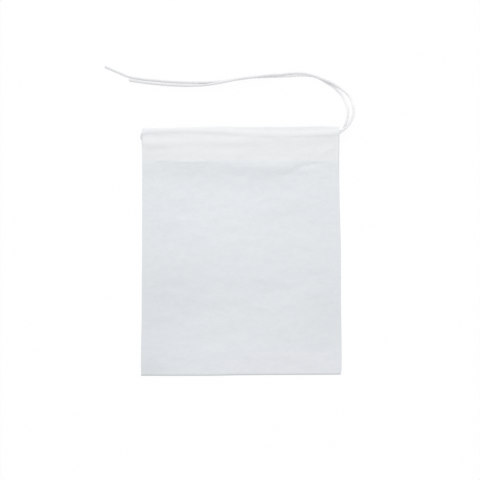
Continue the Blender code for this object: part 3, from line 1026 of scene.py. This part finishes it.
def bag_corners():
    """Where each corner of the cells lies: columns by rows by heights by three."""
    corners = np.zeros((column_count, row_count, 8, 3))
    for rows, wanted in ((rear_rows, range(4)), (front_rows, range(4, 8))):
        x = columns_at(rows)
        levels = corner_heights(x, rows)
        lift = lift_off(x, rows)
        y = rows + edge_shift(x, rows)
        for level in wanted:
            corners[:, :, level] = np.stack([x, y, levels[level] + lift], axis=-1)
    return corners


def skin_faces(cells):
    """Corner numbers of the face between each paper cell and the air beside it."""
    column, row, layer = np.nonzero(cells)
    faces = []
    for step, side in CELL_SIDES:
        open_side = ~cells[column + step[0], row + step[1], layer + step[2]]
        c, r, k = column[open_side] - 1, row[open_side] - 1, layer[open_side] - 1
        numbers = [((c + a) * row_count + r + b) * 8 + k + d for a, b, d in side]
        faces.append(np.stack(numbers, axis=1))
    return np.concatenate(faces)


used, faces = np.unique(skin_faces(paper_cells()), return_inverse=True)
corners = bag_corners().reshape(-1, 3)[used]
bag_mesh = bpy.data.meshes.new("filter_bag_paper")
bag_mesh.from_pydata(corners.tolist(), [], faces.reshape(-1, 4).tolist())
bag_mesh.shade_smooth()
bag_mesh.set_sharp_from_angle(angle=math.radians(40))
print("bag:", len(bag_mesh.polygons), "faces")

# %% [markdown]
# ## Layers, seals and tones for the material
#
# Where more layers lie on each other, white paper looks whiter, and where heat has melted the
# fibres together it is a little greyer, and so is a thin line along each side. Here and there it is
# a shade lighter, darker or more violet. Some of this is painted light and shade: a thin painted
# shade along the fold, a painted dark line with a painted light line beside it at the right end of
# the hem, a painted shade at the bottom-left corner, and the painted shade and highlight of a small
# crease in the hem that is too fine for the mesh. All of this is worked out once for each point and
# kept as attributes for the material.

# %% Attributes of the paper
# Spots: middle x and y, reach x and y in mm, and strength. Most are the paper's own uneven tone,
# but (-38, -48.6) is a painted shade at the bottom-left corner, and (-31.4, 36.2) with (-31.4,
# 37.2) are the painted shade and highlight of a small crease.
TONE_AND_SHADE_SPOTS = (
    (-8, 17, 26, 14, 0.027), (-34, -20, 18, 18, -0.045), (-38, -46, 9, 6, -0.04),
    (-39, -34, 9, 16, -0.015), (37, -24, 12, 12, -0.03), (32, 29, 11, 9, 0.018),
    (8, -20, 40, 26, -0.01), (9, 4, 34, 9, 0.014), (23, 40.5, 17, 3.5, 0.022),
    (-35, 48.5, 11, 3.5, -0.028), (-36, 38.5, 8, 2.5, -0.02), (-31.4, 36.2, 1.8, 0.5, -0.06),
    (-31.4, 37.2, 1.5, 0.45, 0.02), (5.5, 41.2, 6, 2.5, -0.024), (-38, -48.6, 4.5, 2.2, -0.03),
    (-6, -38, 18, 6, 0.018), (-22, -14, 13, 6, -0.012), (-14, 32, 20, 5, -0.01),
)
VIOLETS = ((18, -45, 30, 6, 1.0), (-28, -26, 16, 18, 0.35))
SEAL_REACH = 0.5 * MM
LAYER_REACH, LAYER_START = 2.4 * MM, 0.3
FOLD_SHADE, FOLD_SHADE_REACH = 0.25, 0.45 * MM
CUT_EDGE_SHADE_AND_LIGHT, CUT_REACH = ((0.2 * MM, 0.08), (0.8 * MM, -0.04)), 0.3 * MM
CUT_START, CUT_END = 4 * MM, 2.3 * MM

x, y, _ = np.array([vertex.co for vertex in bag_mesh.vertices]).T
layers = smooth((y - HEM_END) / LAYER_REACH + LAYER_START)
seal = bell(y - (SEAL_START + SEAL_END) / 2, SEAL_REACH)
# A thin greyer line along each side.
side_edge_grey = smooth(1 - from_sides(x, y) / SEAL_REACH)
# Painted shade: a thin dark line along the fold, whose rounded side faces away from the light.
painted_edge_shading = FOLD_SHADE * bell(y - BOTTOM - edge_shift(x, y), FOLD_SHADE_REACH)
from_right = right_side(y) - x
# Painted shade and light at the right end of the hem: a dark line where the layers' ends curve
# down, and a painted light line just inside it.
cut_edge_shading = sum(strength * bell(from_right - place, CUT_REACH) for place, strength in CUT_EDGE_SHADE_AND_LIGHT)
painted_edge_shading += cut_edge_shading * smooth((y - HEM_END) / CUT_START + 1) * smooth((TOP - CUT_END - y) / MM)
facts = {"layers": layers, "seal": np.maximum(seal * 0.3, side_edge_grey * 0.5)}
facts.update({"tone": spots(x, y, TONE_AND_SHADE_SPOTS) - painted_edge_shading, "violet": spots(x, y, VIOLETS)})
for name, values in facts.items():
    kept = bag_mesh.attributes.new(name, "FLOAT", "POINT")
    kept.data.foreach_set("value", values.astype(np.float32))
print("points in the hem:", int(layers.sum()))

# %% [markdown]
# ## Filter paper
#
# Filter paper is long fibres laid in water, so it is never one even white: soft clouds where the
# fibres lie thicker, and a tangle of fine lines close up. The clouds tint it, and the tangle goes
# into the bump. Noise that is pulled out in three crossing directions reads as fibres.

# %% Paper material
THIN, THICK, COOL = (0.733, 0.764, 0.795), (0.79, 0.816, 0.837), (0.728, 0.759, 0.811)
LAYERED, MELTED, VIOLET = (0.87, 0.88, 0.887), (0.66, 0.69, 0.72), (1.02, 1.0, 1.012)
FIBRE_ANGLES, FIBRE_SPOT = (0.35, -0.6, 1.7), (2.4, 0.16, 0.5)
CLOUD, WIDE_CLOUD, CRINKLE = (2.6, 1.7, 2.0), (30, 22, 20), (1.6, 1.1, 1.0)


def fibres(graph, place, angle):
    """Fine lines in one direction: noise turned by an angle and pulled out along X."""
    inputs = {"Vector": place, "Angle": angle}
    turned = graph.node("ShaderNodeVectorRotate", {"rotation_type": "Z_AXIS"}, inputs)
    return graph.clouds(graph.stretched(turned, FIBRE_SPOT), 2.0, 0.6)


def paper_material():
    material, graph, shader = new_material("filter_paper", 0.9, 0.2, 0.1)
    place = graph.node("ShaderNodeTexCoord", {}, {}, "Object")
    first, *others = [fibres(graph, place, angle) for angle in FIBRE_ANGLES]
    tangle = sum(others, first) / len(FIBRE_ANGLES)
    cloud = graph.clouds(graph.stretched(place, CLOUD), 4.0, 0.65)
    wide = graph.clouds(graph.stretched(place, WIDE_CLOUD), 2.0)
    color = graph.mix((cloud * 0.7 + tangle * 0.3 - 0.25) * 2.0, THIN, THICK)
    color = graph.mix((wide - 0.4) * 0.35, color, COOL)
    color = graph.mix(attribute(graph, "layers") * 0.6, color, LAYERED)
    color = graph.mix(attribute(graph, "seal") * 0.35, color, MELTED)
    # The paper's own tone together with the painted shade and light of the fold, the right end of
    # the hem, the corner and a crease.
    color = graph.scaled(color, 1.0 + attribute(graph, "tone"))
    tinted = graph.vector("MULTIPLY", color, VIOLET)
    graph.feed(shader["Base Color"], graph.mix(attribute(graph, "violet"), color, tinted))
    crinkles = graph.clouds(graph.stretched(place, CRINKLE), 3.0, 0.6)
    inputs = {"Strength": 0.7, "Distance": 0.15 * MM, "Height": crinkles}
    soft = graph.node("ShaderNodeBump", {}, inputs)
    inputs = {"Strength": 0.4, "Distance": 0.02 * MM, "Height": tangle, "Normal": soft}
    graph.feed(shader["Normal"], graph.node("ShaderNodeBump", {}, inputs))
    return material


paper = paper_material()
bag_mesh.materials.append(paper)
bag = placed("filter_bag_paper", bag_mesh)
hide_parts("filter_bag")
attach(bag, "root")

# %% [markdown]
# ## Table and light
#
# The photo has the even white of a catalogue page. A white world does most of that, and one large
# lamp beyond the mouth gives the paper its relief. The page itself is not more light: camera rays
# see the table as a white that glows, mixed with a little real surface that keeps the shadow.

# %% Table
TABLE_SIZE = 1.5
TABLE_DEPTH = 0.05 * MM
GLOW_SHARE = 0.95


def looking(graph):
    """1 for what the camera sees, also in gloss or through glass, and 0 for light that bounces."""
    rays = graph.node("ShaderNodeLightPath", {}, {}, "Is Camera Ray")
    return rays.most(rays.other("Is Glossy Ray")).most(rays.other("Is Transmission Ray"))


def table_material():
    material, graph, shader = new_material("table", 0.9, 0.0, 0.0)
    nodes = material.node_tree.nodes
    graph.feed(shader["Base Color"], (0.92, 0.92, 0.92))
    surface = Wire(graph, nodes["Principled BSDF"].outputs[0])
    glow = graph.node("ShaderNodeEmission", {}, {"Color": (1.0, 1.0, 1.0), "Strength": 1.0})
    inputs = {0: looking(graph) * GLOW_SHARE, 1: surface, 2: glow}
    mixed = graph.node("ShaderNodeMixShader", {}, inputs)
    graph.feed(nodes["Material Output"].inputs["Surface"], mixed)
    return material


half = TABLE_SIZE / 2
table_mesh = bpy.data.meshes.new("table")
table_points = [(-half, -half), (half, -half), (half, half), (-half, half)]
table_mesh.from_pydata([(a, b, -TABLE_DEPTH) for a, b in table_points], [], [(0, 1, 2, 3)])
table_mesh.materials.append(table_material())
table = placed("table", table_mesh)
table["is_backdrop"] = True
print("table", TABLE_SIZE, "m wide")

# %% World and lamp
SKY = 0.85
LAMP_PLACE = Vector((-0.10, 0.62, 0.40))
LAMP_SIZE = 0.5
LAMP_POWER = 1.6

world = bpy.data.worlds.new("white_room")
world.use_nodes = True
graph = Graph(world.node_tree)
background = world.node_tree.nodes["Background"].inputs
graph.feed(background["Color"], (1.0, 1.0, 1.0))
graph.feed(background["Strength"], SKY + looking(graph) * (1.0 - SKY))
bpy.context.scene.world = world
lamp_data = bpy.data.lights.new("window", "AREA")
lamp_data.size, lamp_data.energy = LAMP_SIZE, LAMP_POWER
lamp = placed("window", lamp_data)
lamp.location = LAMP_PLACE
lamp.rotation_euler = (-LAMP_PLACE).to_track_quat("-Z", "Y").to_euler()
bpy.context.scene.view_settings.view_transform = "Standard"
print("lamp", round(LAMP_PLACE.length, 2), "m away")

# %% [markdown]
# ## The sizes
#
# The dressed bag has to stay in the box of its solids, so the sizes of both boxes are printed.

# %% Sizes
dressed_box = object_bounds()
boxes = {"cad": [list(v) for v in cad_box], "dressed": [list(v) for v in dressed_box]}
for name, (low, high) in boxes.items():
    print(name, "box, mm:", [round((b - a) / MM, 2) for a, b in zip(low, high)])
